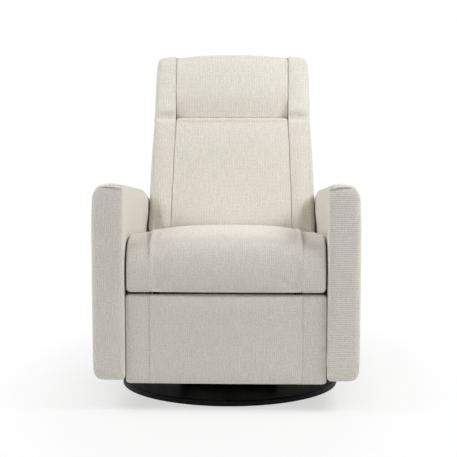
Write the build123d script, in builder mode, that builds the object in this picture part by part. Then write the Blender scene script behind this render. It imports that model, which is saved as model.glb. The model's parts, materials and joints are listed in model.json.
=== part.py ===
"""Swivel glider nursery recliner: an upholstered armchair that swivels on a round floor disc, glides
on four hanging links, puts out a footrest on scissor links and reclines. Millimetres, +Z up, the sitter
faces -Y, and the origin lies on the floor under the swivel post."""

from math import atan2, cos, degrees, hypot, radians, sin
import os

from build123d import *

# Base and swivel
disc_diameter = 690
disc_thickness = 17
disc_edge_radius = 4
pad_height = 3
pad_diameter = 40
pad_count = 6
pad_circle_radius = 300
post_diameter = 25
post_flange_diameter = 80
post_flange_height = 4
ring_outer_diameter = 190
ring_inner_diameter = 140
ring_height = 6
bush_outer_diameter = 34
bush_flange_diameter = 50
bush_flange_height = 4
bush_length = 22
swivel_clearance = 0.05
nut_across_flats = 38
nut_height = 10
nut_gap = 0.3

# Glider stand, hanging links and carriage
plate_thickness = 5
turntable_length = 270
turntable_corner = 40
lightening_hole = 50
stand_inner = 150
stand_foot_width = 40
stand_base_half = 125
stand_ear_radius = 17
pivot_spacing = 220
pivot_height = 245
glide_link_length = 110
glide_link_width = 32
glide_pin_diameter = 12
glide_pin_head = 20
glide_pin_head_height = 4
glide_bush_diameter = 18
glide_bush_length = 7.2
bush_running_clearance = 0.05
link_side_gap = 0.4
carriage_half_length = 170
carriage_ear_radius = 20
carriage_top = 300
flange_reach = 37
tube_size = 25
tube_wall = 2
carriage_tube_size = 22
carriage_tube_spacing = 300

# Seat frame
rail_inner = 175
rail_thickness = 25
rail_height = 50
seat_front = -330
seat_rear = 200
strap_width = 55
strap_thickness = 2
strap_count = 5
cross_tube_front = -228
cross_tube_rear = 187.5
bolt_diameter = 8
bolt_head_diameter = 14
bolt_head_height = 4
bolt_length = 20

# Arms
overall_width = 778
arm_front = -385
arm_rear = 345
arm_bottom = 97
arm_top_front = 665
arm_top_rear = 592
arm_inner_front = 295
wing_arm_gap = 6
arm_corner = 26
arm_crown = 7
arm_rear_round = 30
arm_frame_inner = 310
arm_frame_thickness = 18
arm_frame_setback = 12
arm_frame_drop = 58
arm_lining_bottom = 345
front_panel_depth = 16
front_panel_draw = 9
front_panel_inset = 1.5
soft_gap = 0.3

# Rear apron
apron_thickness = 12
apron_setback = 1
apron_top = 307

# Footrest linkage, in side view: forward is -Y
lift_y = -295
lift_z = 284
link_reach = 150
cross_offset = 100
reach_angle = 10
fold_angle = 85
open_angle = 7
lift_link_width = 20
cross_link_width = 18
elbow_link_width = 20
link_thickness = 4
layer_gap = 2
plate_layer_gap = 3
link_pin_diameter = 8
link_pin_head = 14
link_pin_head_height = 1.2
pin_clearance = 0.05
shaft_diameter = 20
journal_diameter = 14
roller_diameter = 16
slot_clearance = 0.15
mechanism_bar_width = 34
mechanism_strip_height = 32
mechanism_strip_rear = -120
footrest_bottom = 88
footrest_top = 346
footrest_half_width = 289
board_rear = -352
board_thickness = 12
board_inset = 12
pad_depth = 38
pad_seam = 220
pad_seam_depth = 7
bracket_flange = 30
bracket_thickness = 4

# Seat cushion
cushion_front = -402
cushion_rear = 127
cushion_top = 520
cushion_fall = 42
cushion_crown = 24
cushion_side_gap = 5
cushion_bulge = 16
cushion_seam_depth = 9

# Back and headrest, in the tilted frame of the back: up from the recline pivot, and rearward
recline_y = 230
recline_z = 350
back_tilt = 11
back_rear = 100
outer_cover_thickness = 15
cover_wrap_angle = 50
stile_inner = 210
stile_thickness = 20
stile_front = -10
stile_foot_radius = 25
stile_top = 475
recline_pin_diameter = 14
recline_pin_head = 24
recline_pin_head_height = 4
bracket_inner = 200
bracket_half_height = 26
back_rail_height = 50
back_rail_thickness = 25
lower_rail_level = 60
upper_rail_level = 340
lower_strap_level = 150
back_strap_spacing = 90
back_strap_count = 3
cushion_half_width = 203
back_bottom = 88
crease_level = 485
crease_gap = 6
back_top = 710
back_cushion_front = -120
headrest_cushion_front = -116
wing_inner = 211
wing_front = -100
wing_pad_bottom = 48
wing_pad_crease = 34
wing_pad_top = 24
headrest_pivot_y = -80
hinge_leaf_thickness = 3
hinge_leaf_width = 22
hinge_leaf_gap = 0.3
headrest_board_thickness = 15
headrest_board_bottom = 507
headrest_board_top = 677
headrest_side_thickness = 18
headrest_side_gap = 8

# Worked-out levels and places
disc_top = pad_height + disc_thickness
ring_top = disc_top + ring_height
turntable_top = ring_top + plate_thickness
bush_top = ring_top + bush_length
nut_bottom = bush_top + nut_gap
stand_outer = stand_inner + plate_thickness
carriage_inner = stand_outer + glide_bush_length + 2 * link_side_gap
carriage_outer = carriage_inner + plate_thickness
link_near = (stand_outer + carriage_inner - plate_thickness) / 2
lower_pivot_height = pivot_height - glide_link_length
rail_outer = rail_inner + rail_thickness
rail_bottom = carriage_top
rail_top = rail_bottom + rail_height
half_width = overall_width / 2
arm_frame_outer = arm_frame_inner + arm_frame_thickness
cross_near = rail_outer + link_thickness + plate_layer_gap
lift_near = cross_near + link_thickness + layer_gap
elbow_near = lift_near + link_thickness + layer_gap
board_front = board_rear - board_thickness
cushion_bottom = rail_top + strap_thickness + soft_gap
stile_outer = stile_inner + stile_thickness
wing_half_width_bottom = stile_outer + wing_pad_bottom
wing_half_width_crease = stile_outer + wing_pad_crease
wing_half_width_top = stile_outer + wing_pad_top
arm_inner_rear = wing_half_width_bottom + wing_arm_gap


def forward(point, angle, length):
    """Side-view point (Y, Z) that lies a length away, at an angle above straight ahead."""
    return (point[0] - length * cos(radians(angle)), point[1] + length * sin(radians(angle)))


lift_pivot = (lift_y, lift_z)
lift_rest = reach_angle - fold_angle
elbow_rest = reach_angle + fold_angle
cross_pivot = forward(lift_pivot, lift_rest, cross_offset)
elbow_pivot = forward(lift_pivot, lift_rest, link_reach)
lower_footrest_pivot = forward(elbow_pivot, elbow_rest, link_reach)
upper_footrest_pivot = forward(cross_pivot, elbow_rest, link_reach)
slot_angle = reach_angle - 90
roller_rest = forward(lift_pivot, slot_angle, 2 * cross_offset * sin(radians(fold_angle)))
roller_open = forward(lift_pivot, slot_angle, 2 * cross_offset * sin(radians(open_angle)))

SIDES = {"left": -1, "right": 1}


def side_view(x):
    """Plane of a side view at x: sketches run in (Y, Z) and extrude along +X."""
    return Plane(origin=(x, 0, 0), x_dir=(0, 1, 0), z_dir=(1, 0, 0))


def front_view(y):
    """Plane of a front view at y: sketches run in (X, Z) and extrude along -Y."""
    return Plane(origin=(0, y, 0), x_dir=(1, 0, 0), z_dir=(0, -1, 0))


def back_point(rearward, up):
    """Point in (Y, Z) of a place in the tilted frame of the back."""
    tilt = radians(back_tilt)
    return (
        recline_y + rearward * cos(tilt) + up * sin(tilt),
        recline_z - rearward * sin(tilt) + up * cos(tilt),
    )


def back_level(up):
    """Plane square to the back at a level: sketches run in (X, rearward)."""
    tilt = radians(back_tilt)
    y, z = back_point(0, up)
    return Plane(origin=(0, y, z), x_dir=(1, 0, 0), z_dir=(0, sin(tilt), cos(tilt)))


def back_side_view(x):
    """Side view of the back at x: sketches run in (rearward, up) and extrude along +X."""
    tilt = radians(back_tilt)
    return Plane(
        origin=(x, recline_y, recline_z),
        x_dir=(0, cos(tilt), -sin(tilt)),
        z_dir=(1, 0, 0),
    )


def back_rear_view(rearward):
    """Plane along the back: sketches run in (X, up) and extrude forwards."""
    tilt = radians(back_tilt)
    y, z = back_point(rearward, 0)
    return Plane(origin=(0, y, z), x_dir=(1, 0, 0), z_dir=(0, -cos(tilt), sin(tilt)))


def bar(start, end, width):
    """Round-ended bar outline between two pivots."""
    middle = ((start[0] + end[0]) / 2, (start[1] + end[1]) / 2)
    length = hypot(end[0] - start[0], end[1] - start[1])
    turn = degrees(atan2(end[1] - start[1], end[0] - start[0]))
    with Locations(middle):
        SlotCenterToCenter(length, width, rotation=turn)


def bores(points, diameter):
    """Round holes in the sketch being drawn."""
    with Locations(*points):
        Circle(diameter / 2, mode=Mode.SUBTRACT)


def pin(side, point, near, far, diameter, plane=side_view):
    """Round pin along X from |X| = near to far."""
    with BuildSketch(plane(side * near)) as profile:
        with Locations(point):
            Circle(diameter / 2)
    extrude(profile.sketch, amount=side * (far - near))


def box_between(x_range, y_range, z_range, mode=Mode.ADD):
    """Box from its limits along X, Y and Z."""
    centre = [sum(r) / 2 for r in (x_range, y_range, z_range)]
    with Locations(tuple(centre)):
        Box(*[abs(r[1] - r[0]) for r in (x_range, y_range, z_range)], mode=mode)


def both_ways(near, far, side):
    """Limits along X of a piece on one side."""
    return (side * near, side * far)


def save(piece, label):
    """Name a finished piece and write it."""
    piece.part.label = label
    export_step(piece.part, f"parts/{label}.step")


os.makedirs("parts", exist_ok=True)

# Floor disc, pads and swivel
with BuildPart() as base_disc:
    with BuildSketch(Plane.XY.offset(pad_height)):
        Circle(disc_diameter / 2)
    extrude(amount=disc_thickness)
    fillet(base_disc.edges().group_by(Axis.Z)[-1], radius=disc_edge_radius)
save(base_disc, "base_disc")

with BuildPart() as floor_pads:
    with BuildSketch(Plane.XY):
        Circle(pad_diameter / 2)
        with PolarLocations(pad_circle_radius, pad_count):
            Circle(pad_diameter / 2)
    extrude(amount=pad_height)
save(floor_pads, "floor_pads")

with BuildPart() as swivel_post:
    with BuildSketch(Plane.XY.offset(disc_top)):
        Circle(post_flange_diameter / 2)
    extrude(amount=post_flange_height)
    with BuildSketch(Plane.XY.offset(disc_top)):
        Circle(post_diameter / 2)
    extrude(amount=nut_bottom + nut_height - disc_top)
save(swivel_post, "swivel_post")

with BuildPart() as swivel_nut:
    with BuildSketch(Plane.XY.offset(nut_bottom)):
        RegularPolygon(nut_across_flats / 2, 6, major_radius=False)
        Circle(post_diameter / 2, mode=Mode.SUBTRACT)
    extrude(amount=nut_height)
save(swivel_nut, "swivel_nut")

with BuildPart() as thrust_ring:
    with BuildSketch(Plane.XY.offset(disc_top)):
        Circle(ring_outer_diameter / 2)
        Circle(ring_inner_diameter / 2, mode=Mode.SUBTRACT)
    extrude(amount=ring_height)
save(thrust_ring, "thrust_ring")

# Turntable with its two stands
with BuildPart() as turntable_plate:
    with BuildSketch(Plane.XY.offset(ring_top)):
        RectangleRounded(2 * stand_outer, turntable_length, turntable_corner)
        Circle(bush_outer_diameter / 2, mode=Mode.SUBTRACT)
        with GridLocations(2 * stand_inner - 3 * stand_foot_width, turntable_length / 2, 2, 2):
            Circle(lightening_hole / 2, mode=Mode.SUBTRACT)
    extrude(amount=plate_thickness)
save(turntable_plate, "turntable_plate")

with BuildPart() as swivel_bush:
    with BuildSketch(Plane.XY.offset(ring_top)):
        Circle(bush_outer_diameter / 2)
        Circle(post_diameter / 2 + swivel_clearance, mode=Mode.SUBTRACT)
    extrude(amount=bush_length)
    with BuildSketch(Plane.XY.offset(turntable_top)):
        Circle(bush_flange_diameter / 2)
        Circle(bush_outer_diameter / 2, mode=Mode.SUBTRACT)
    extrude(amount=bush_flange_height)
save(swivel_bush, "swivel_bush")

upper_pivots = [(-pivot_spacing / 2, pivot_height), (pivot_spacing / 2, pivot_height)]
lower_pivots = [(y, lower_pivot_height) for y, z in upper_pivots]

with BuildPart() as glider_stands:
    for side in SIDES.values():
        with BuildSketch(side_view(side * stand_inner)):
            with BuildLine():
                Polyline(
                    (-stand_base_half, turntable_top),
                    (stand_base_half, turntable_top),
                    (pivot_spacing / 2 + stand_ear_radius, pivot_height),
                    (-pivot_spacing / 2 - stand_ear_radius, pivot_height),
                    close=True,
                )
            make_face()
            with Locations(*upper_pivots):
                Circle(stand_ear_radius)
            bores(upper_pivots, glide_pin_diameter)
            bores([(0, (turntable_top + pivot_height) / 2)], lightening_hole)
        extrude(amount=side * plate_thickness)
        box_between(
            both_ways(stand_inner - stand_foot_width, stand_inner, side),
            (-stand_base_half, stand_base_half),
            (turntable_top, turntable_top + plate_thickness),
        )
save(glider_stands, "glider_stands")

bush_near = stand_outer + link_side_gap
bush_far = bush_near + glide_bush_length

with BuildPart() as glide_top_pins:
    for side in SIDES.values():
        for point in upper_pivots:
            pin(side, point, stand_inner - glide_pin_head_height, stand_inner, glide_pin_head)
            pin(side, point, stand_inner, bush_far, glide_pin_diameter)
save(glide_top_pins, "glide_top_pins")

# Hanging links, front pair and rear pair
for place, pivot_pair in {
    "front": (upper_pivots[0], lower_pivots[0]),
    "rear": (upper_pivots[1], lower_pivots[1]),
}.items():
    with BuildPart() as glide_links:
        for side in SIDES.values():
            with BuildSketch(side_view(side * link_near)):
                bar(*pivot_pair, glide_link_width)
                bores(pivot_pair, glide_bush_diameter)
            extrude(amount=side * plate_thickness)
    save(glide_links, f"{place}_glide_links")

    with BuildPart() as glide_bushes:
        for side in SIDES.values():
            with BuildSketch(side_view(side * bush_near)):
                with Locations(*pivot_pair):
                    Circle(glide_bush_diameter / 2)
                    Circle(glide_pin_diameter / 2 + bush_running_clearance, mode=Mode.SUBTRACT)
            extrude(amount=side * glide_bush_length)
    save(glide_bushes, f"{place}_glide_bushes")

# Carriage that hangs on the links
with BuildPart() as carriage_plates:
    for side in SIDES.values():
        with BuildSketch(side_view(side * carriage_inner)):
            with BuildLine():
                Polyline(
                    (-carriage_half_length, carriage_top),
                    (carriage_half_length, carriage_top),
                    (carriage_half_length, pivot_height),
                    (pivot_spacing / 2 + carriage_ear_radius, lower_pivot_height),
                    (-pivot_spacing / 2 - carriage_ear_radius, lower_pivot_height),
                    (-carriage_half_length, pivot_height),
                    close=True,
                )
            make_face()
            with Locations(*lower_pivots):
                Circle(carriage_ear_radius)
            bores(lower_pivots, glide_pin_diameter)
            bores([(0, (lower_pivot_height + pivot_height) / 2)], lightening_hole)
        extrude(amount=side * plate_thickness)
        box_between(
            both_ways(carriage_outer, carriage_inner + flange_reach, side),
            (-carriage_half_length, carriage_half_length),
            (carriage_top - plate_thickness, carriage_top),
        )
save(carriage_plates, "carriage_plates")

with BuildPart() as glide_bottom_pins:
    for side in SIDES.values():
        for point in lower_pivots:
            pin(side, point, bush_near, carriage_outer, glide_pin_diameter)
            pin(side, point, carriage_outer, carriage_outer + glide_pin_head_height, glide_pin_head)
save(glide_bottom_pins, "glide_bottom_pins")



def square_tubes(half_length, centres, size):
    """Square steel tubes along X."""
    with BuildSketch(side_view(-half_length)) as profile:
        with Locations(*centres):
            Rectangle(size, size)
            Rectangle(size - 2 * tube_wall, size - 2 * tube_wall, mode=Mode.SUBTRACT)
    extrude(profile.sketch, amount=2 * half_length)


# Steel cross tubes: a short pair joins the carriage, a long pair carries the arms under the seat rails
with BuildPart() as cross_tubes:
    short_level = carriage_top - plate_thickness - carriage_tube_size / 2
    square_tubes(
        carriage_inner,
        [(-carriage_tube_spacing / 2, short_level), (carriage_tube_spacing / 2, short_level)],
        carriage_tube_size,
    )
    long_level = rail_bottom - tube_size / 2
    square_tubes(
        arm_frame_inner,
        [(cross_tube_front, long_level), (cross_tube_rear, long_level)],
        tube_size,
    )
save(cross_tubes, "cross_tubes")

# Wooden seat rails, webbing straps and the bolts of the footrest linkage
strip_middle = rail_bottom + rail_height / 2
bolt_points = [
    (cross_tube_front, strip_middle),
    ((cross_tube_front + mechanism_strip_rear) / 2, strip_middle),
]

with BuildPart() as seat_side_rails:
    for side in SIDES.values():
        with BuildSketch(side_view(side * rail_inner)):
            with BuildLine():
                Polyline(
                    (seat_front, rail_bottom),
                    (seat_rear, rail_bottom),
                    (seat_rear, rail_top),
                    (seat_front, rail_top),
                    close=True,
                )
            make_face()
        extrude(amount=side * rail_thickness)
        for point in bolt_points:
            with BuildSketch(side_view(side * rail_outer)):
                with Locations(point):
                    Circle(bolt_diameter / 2)
            extrude(amount=-side * (bolt_length - link_thickness), mode=Mode.SUBTRACT)
save(seat_side_rails, "seat_side_rails")

with BuildPart() as seat_cross_rails:
    for front in (seat_front, seat_rear - rail_thickness):
        box_between((-rail_inner, rail_inner), (front, front + rail_thickness), (rail_bottom, rail_top))
save(seat_cross_rails, "seat_cross_rails")

with BuildPart() as seat_straps:
    strap_pitch = (seat_rear - seat_front) / strap_count
    with BuildSketch(Plane.XY.offset(rail_top)):
        with Locations((0, (seat_front + seat_rear) / 2)):
            with GridLocations(0, strap_pitch, 1, strap_count):
                Rectangle(2 * rail_outer, strap_width)
    extrude(amount=strap_thickness)
save(seat_straps, "seat_straps")

with BuildPart() as frame_bolts:
    for side in SIDES.values():
        head_near = rail_outer + link_thickness
        for point in bolt_points:
            pin(side, point, head_near - bolt_length, head_near, bolt_diameter)
            pin(side, point, head_near, head_near + bolt_head_height, bolt_head_diameter)
save(frame_bolts, "frame_bolts")


def arm_inner(y):
    """Inner face of an arm, which closes in a little towards the rear."""
    share = (y - arm_front) / (arm_rear - arm_front)
    return arm_inner_front + share * (arm_inner_rear - arm_inner_front)


def arm_top(y):
    """Crest of an arm, which falls towards the rear."""
    share = (y - arm_front) / (arm_rear - arm_front)
    return arm_top_front + share * (arm_top_rear - arm_top_front)


def arm_outline(side, inner, outer, bottom, top, corner):
    """Front-view outline of an arm: upright sides under a soft crowned top."""
    shoulder = top - arm_crown
    bend = corner * (1 - cos(radians(45)))
    middle = (inner + outer) / 2
    with BuildLine() as outline:
        Polyline((side * inner, shoulder - corner), (side * inner, bottom), (side * outer, bottom))
        Line((side * outer, bottom), (side * outer, shoulder - corner))
        ThreePointArc(
            (side * outer, shoulder - corner),
            (side * (outer - bend), shoulder - bend),
            (side * (outer - corner), shoulder),
        )
        ThreePointArc(
            (side * (outer - corner), shoulder), (side * middle, top), (side * (inner + corner), shoulder)
        )
        ThreePointArc(
            (side * (inner + corner), shoulder),
            (side * (inner + bend), shoulder - bend),
            (side * inner, shoulder - corner),
        )
    make_face(outline.edges())


# Arms: a plywood frame, a padded cover over it and a padded panel on the front
frame_front = arm_front + soft_gap
frame_rear = arm_rear - apron_thickness - apron_setback
for hand, side in SIDES.items():
    with BuildPart() as arm_frame:
        with BuildSketch(side_view(side * arm_frame_inner)):
            with BuildLine():
                Polyline(
                    (frame_front, arm_bottom + arm_frame_setback),
                    (frame_rear, arm_bottom + arm_frame_setback),
                    (frame_rear, arm_top(frame_rear) - arm_frame_drop),
                    (frame_front, arm_top(frame_front) - arm_frame_drop),
                    close=True,
                )
            make_face()
        extrude(amount=side * arm_frame_thickness)
    save(arm_frame, f"arm_frame_{hand}")

    with BuildPart() as arm_cover:
        round_start = arm_rear - arm_rear_round
        for y, drop in ((arm_front, 0), (round_start, 0), (arm_rear, arm_rear_round)):
            with BuildSketch(front_view(y)):
                arm_outline(side, arm_inner(y), half_width, arm_bottom, arm_top(y) - drop, arm_corner)
        loft(ruled=True)
        with BuildSketch(side_view(side * (arm_frame_inner - soft_gap))):
            with BuildLine():
                Polyline(
                    (arm_front, arm_bottom),
                    (arm_rear, arm_bottom),
                    (arm_rear, arm_lining_bottom),
                    (frame_rear + soft_gap, arm_lining_bottom),
                    (frame_rear + soft_gap, arm_top(frame_rear) - arm_frame_drop + soft_gap),
                    (arm_front, arm_top(arm_front) - arm_frame_drop + soft_gap),
                    close=True,
                )
            make_face()
        extrude(amount=side * (arm_frame_thickness + 2 * soft_gap), mode=Mode.SUBTRACT)
        box_between(
            both_ways(0, arm_frame_inner, side),
            (arm_front, arm_rear),
            (arm_bottom, arm_lining_bottom),
            mode=Mode.SUBTRACT,
        )
    save(arm_cover, f"arm_cover_{hand}")

    with BuildPart() as arm_front_panel:
        panel_back = arm_front - soft_gap
        for depth, draw in (
            (0, 0),
            (front_panel_depth - front_panel_draw, 0),
            (front_panel_depth, front_panel_draw),
        ):
            inset = front_panel_inset + draw
            with BuildSketch(front_view(panel_back - depth)):
                arm_outline(
                    side,
                    arm_inner_front + inset,
                    half_width - inset,
                    arm_bottom + inset,
                    arm_top_front - inset,
                    arm_corner,
                )
        loft(ruled=True)
    save(arm_front_panel, f"arm_front_panel_{hand}")

with BuildPart() as rear_apron:
    box_between(
        (-arm_frame_outer, arm_frame_outer),
        (frame_rear, frame_rear + apron_thickness),
        (arm_bottom + arm_frame_setback, apron_top),
    )
save(rear_apron, "rear_apron")

# Recline pivots: brackets on the seat rails, pins in the back
bracket_bottom = rail_bottom
with BuildPart() as recline_brackets:
    for side in SIDES.values():
        with BuildSketch(side_view(side * bracket_inner)):
            with BuildLine():
                Polyline(
                    (recline_y - 4 * bracket_half_height, bracket_bottom),
                    (recline_y, bracket_bottom),
                    (recline_y, recline_z + bracket_half_height),
                    (recline_y - 4 * bracket_half_height, rail_top),
                    close=True,
                )
            make_face()
            with Locations((recline_y, recline_z)):
                Circle(bracket_half_height)
            bores([(recline_y, recline_z)], recline_pin_diameter + 2 * pin_clearance)
        extrude(amount=side * plate_thickness)
save(recline_brackets, "recline_brackets")

# Footrest linkage
strip_bottom = strip_middle - mechanism_strip_height / 2
for hand, side in SIDES.items():
    with BuildPart() as mechanism_plate:
        with BuildSketch(side_view(side * rail_outer)):
            with BuildLine():
                Polyline(
                    (seat_front, strip_bottom),
                    (mechanism_strip_rear, strip_bottom),
                    (mechanism_strip_rear, strip_bottom + mechanism_strip_height),
                    (seat_front, strip_bottom + mechanism_strip_height),
                    close=True,
                )
            make_face()
            strip_root = forward(lift_pivot, slot_angle + 180, strip_middle - lift_z)
            bar(roller_rest, strip_root, mechanism_bar_width)
            bores([lift_pivot], journal_diameter + 2 * pin_clearance)
            bores(bolt_points, bolt_diameter)
            middle = ((roller_rest[0] + roller_open[0]) / 2, (roller_rest[1] + roller_open[1]) / 2)
            travel = hypot(roller_rest[0] - roller_open[0], roller_rest[1] - roller_open[1])
            with Locations(middle):
                SlotCenterToCenter(
                    travel,
                    roller_diameter + 2 * slot_clearance,
                    rotation=-slot_angle,
                    mode=Mode.SUBTRACT,
                )
        extrude(amount=side * link_thickness)
    save(mechanism_plate, f"mechanism_plate_{hand}")

    with BuildPart() as lift_link:
        with BuildSketch(side_view(side * lift_near)):
            bar(lift_pivot, elbow_pivot, lift_link_width)
            bores([lift_pivot], journal_diameter)
            bores([cross_pivot, elbow_pivot], link_pin_diameter)
        extrude(amount=side * link_thickness)
    save(lift_link, f"lift_link_{hand}")

    with BuildPart() as cross_link:
        with BuildSketch(side_view(side * cross_near)):
            bar(roller_rest, upper_footrest_pivot, cross_link_width)
            bores([roller_rest], link_pin_diameter)
            bores([cross_pivot, upper_footrest_pivot], link_pin_diameter + 2 * pin_clearance)
        extrude(amount=side * link_thickness)
    save(cross_link, f"cross_link_{hand}")

    with BuildPart() as elbow_link:
        with BuildSketch(side_view(side * elbow_near)):
            bar(elbow_pivot, lower_footrest_pivot, elbow_link_width)
            bores([elbow_pivot, lower_footrest_pivot], link_pin_diameter + 2 * pin_clearance)
        extrude(amount=side * link_thickness)
    save(elbow_link, f"elbow_link_{hand}")

    with BuildPart() as footrest_bracket:
        flange_bottom = lower_footrest_pivot[1] - 2 * bracket_flange
        with BuildSketch(side_view(side * lift_near)):
            bar(upper_footrest_pivot, lower_footrest_pivot, lift_link_width)
            with BuildLine():
                Polyline(
                    lower_footrest_pivot,
                    (board_rear, flange_bottom),
                    (board_rear, upper_footrest_pivot[1] - bracket_flange / 2),
                    upper_footrest_pivot,
                    close=True,
                )
            make_face()
            bores([upper_footrest_pivot, lower_footrest_pivot], link_pin_diameter)
        extrude(amount=side * link_thickness)
        box_between(
            both_ways(lift_near + link_thickness, lift_near + bracket_flange, side),
            (board_rear, board_rear + bracket_thickness),
            (flange_bottom, upper_footrest_pivot[1] - bracket_flange / 2),
        )
    save(footrest_bracket, f"footrest_bracket_{hand}")

with BuildPart() as lift_shaft:
    pin(1, lift_pivot, -rail_outer + layer_gap, rail_outer - layer_gap, shaft_diameter)
    pin(1, lift_pivot, -lift_near - link_thickness, lift_near + link_thickness, journal_diameter)
save(lift_shaft, "lift_shaft")

inner_head = cross_near - link_pin_head_height - pin_clearance
outer_head = elbow_near + link_thickness + pin_clearance
lift_far = lift_near + link_thickness


def inward_pin(side, point):
    """Rivet from the lift layer in to the cross link."""
    pin(side, point, inner_head, lift_far, link_pin_diameter)
    pin(side, point, inner_head, inner_head + link_pin_head_height, link_pin_head)


def outward_pin(side, point):
    """Rivet from the lift layer out to the elbow link."""
    pin(side, point, lift_near, outer_head + link_pin_head_height, link_pin_diameter)
    pin(side, point, outer_head, outer_head + link_pin_head_height, link_pin_head)


with BuildPart() as lift_pins:
    for side in SIDES.values():
        inward_pin(side, cross_pivot)
        outward_pin(side, elbow_pivot)
save(lift_pins, "lift_pins")

with BuildPart() as footrest_pins:
    for side in SIDES.values():
        inward_pin(side, upper_footrest_pivot)
        outward_pin(side, lower_footrest_pivot)
save(footrest_pins, "footrest_pins")

with BuildPart() as slot_rollers:
    for side in SIDES.values():
        roller_far = cross_near - layer_gap
        pin(side, roller_rest, rail_outer - layer_gap, roller_far, roller_diameter)
        pin(side, roller_rest, roller_far, cross_near + link_thickness, link_pin_diameter)
save(slot_rollers, "slot_rollers")

with BuildPart() as footrest_board:
    box_between(
        (-footrest_half_width + board_inset, footrest_half_width - board_inset),
        (board_front, board_rear),
        (footrest_bottom + board_inset, footrest_top - board_inset),
    )
save(footrest_board, "footrest_board")


def crowned_strip(half, seam, rear, depth, centre_rise, corner, seam_depth, flip):
    """Level section of a padded panel: flat rear, a raised middle between two seams and soft corners."""
    front = rear + flip * depth
    seam_level = front - flip * seam_depth
    lobe = front - flip * seam_depth / 3
    bend = corner * (1 - cos(radians(45)))
    shoulder = front - flip * (corner + seam_depth / 2)
    with BuildLine() as outline:
        Polyline((-half, shoulder), (-half, rear), (half, rear), (half, shoulder))
        ThreePointArc(
            (half, shoulder),
            (half - bend, shoulder + flip * (corner - bend)),
            (half - corner, shoulder + flip * corner),
        )
        ThreePointArc(
            (half - corner, shoulder + flip * corner), ((half - corner + seam) / 2, lobe), (seam, seam_level)
        )
        ThreePointArc((seam, seam_level), (0, front + flip * centre_rise), (-seam, seam_level))
        ThreePointArc(
            (-seam, seam_level),
            (-(half - corner + seam) / 2, lobe),
            (corner - half, shoulder + flip * corner),
        )
        ThreePointArc(
            (corner - half, shoulder + flip * corner),
            (bend - half, shoulder + flip * (corner - bend)),
            (-half, shoulder),
        )
    make_face(outline.edges())


# Footrest pad: drawn in at its top and bottom edges
pad_corner = 12
pad_rise = 5
pad_edge_inset = 9
pad_edge_height = 14
with BuildPart() as footrest_pad:
    for z, inset in (
        (footrest_bottom, pad_edge_inset),
        (footrest_bottom + pad_edge_height, 0),
        (footrest_top - pad_edge_height, 0),
        (footrest_top, pad_edge_inset),
    ):
        with BuildSketch(Plane.XY.offset(z)):
            crowned_strip(
                footrest_half_width - inset,
                pad_seam,
                board_front - soft_gap,
                pad_depth - 1.5 * inset,
                pad_rise,
                pad_corner,
                pad_seam_depth,
                flip=-1,
            )
    loft(ruled=True)
save(footrest_pad, "footrest_pad")


def cushion_outline(half, bottom, top, crown, seam, seam_depth, bulge):
    """Front-view section of the seat cushion: bulging sides, low side boxes and a raised middle."""
    waist = (bottom + top) / 2
    edge = half - bulge
    lobe_top = top + seam_depth / 3
    with BuildLine() as outline:
        Line((-edge, bottom), (edge, bottom))
        ThreePointArc((edge, bottom), (half, waist), (edge, top))
        ThreePointArc((edge, top), ((edge + seam) / 2, lobe_top), (seam, top - seam_depth))
        ThreePointArc((seam, top - seam_depth), (0, top + crown), (-seam, top - seam_depth))
        ThreePointArc((-seam, top - seam_depth), (-(edge + seam) / 2, lobe_top), (-edge, top))
        ThreePointArc((-edge, top), (-half, waist), (-edge, bottom))
    make_face(outline.edges())


# Seat cushion: rolls over at the front edge, and falls from there to the back
front_rolls = ((0, 80), (8, 50), (24, 27), (48, 10), (90, 0))
roll_side_share = 0.25
roll_bottom_share = 0.18
crest = cushion_front + front_rolls[-1][0]


def seat_top(y):
    """Level of the side boxes, highest behind the front roll."""
    return cushion_top - cushion_fall * max(0, (y - crest) / (cushion_rear - crest))


with BuildPart() as seat_cushion:
    levels = [(cushion_front + back, roll) for back, roll in front_rolls] + [(cushion_rear, 0)]
    for y, roll in levels:
        with BuildSketch(front_view(y)):
            cushion_outline(
                arm_inner(y) - cushion_side_gap - roll_side_share * roll,
                cushion_bottom + roll_bottom_share * roll,
                seat_top(y) - roll,
                cushion_crown,
                pad_seam,
                cushion_seam_depth,
                cushion_bulge,
            )
    loft(ruled=True)
save(seat_cushion, "seat_cushion")

# Back frame: two deep stiles and two rails
stile_rear = back_rear - outer_cover_thickness
with BuildPart() as back_stiles:
    for side in SIDES.values():
        with BuildSketch(back_side_view(side * stile_inner)):
            with BuildLine():
                Polyline(
                    (stile_front, 0),
                    (stile_rear, 0),
                    (stile_rear, stile_top),
                    (stile_front, stile_top),
                    close=True,
                )
            make_face()
            Circle(stile_foot_radius)
            bores([(0, 0)], recline_pin_diameter)
        extrude(amount=side * stile_thickness)
save(back_stiles, "back_stiles")

with BuildPart() as back_rails:
    for up in (lower_rail_level, upper_rail_level):
        with BuildSketch(back_side_view(-stile_inner)):
            with Locations((back_rail_thickness, up + back_rail_height / 2)):
                Rectangle(back_rail_thickness, back_rail_height)
        extrude(amount=2 * stile_inner)
save(back_rails, "back_rails")

with BuildPart() as back_straps:
    for row in range(back_strap_count):
        up = lower_strap_level + row * back_strap_spacing
        with BuildSketch(back_side_view(-stile_outer)):
            with Locations((stile_front - strap_thickness / 2, up)):
                Rectangle(strap_thickness, strap_width)
        extrude(amount=2 * stile_outer)
save(back_straps, "back_straps")

with BuildPart() as recline_pins:
    for side in SIDES.values():
        near = bracket_inner - recline_pin_head_height - pin_clearance
        pin(side, (0, 0), near, stile_outer, recline_pin_diameter, back_side_view)
        pin(side, (0, 0), near, near + recline_pin_head_height, recline_pin_head, back_side_view)
save(recline_pins, "recline_pins")

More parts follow.
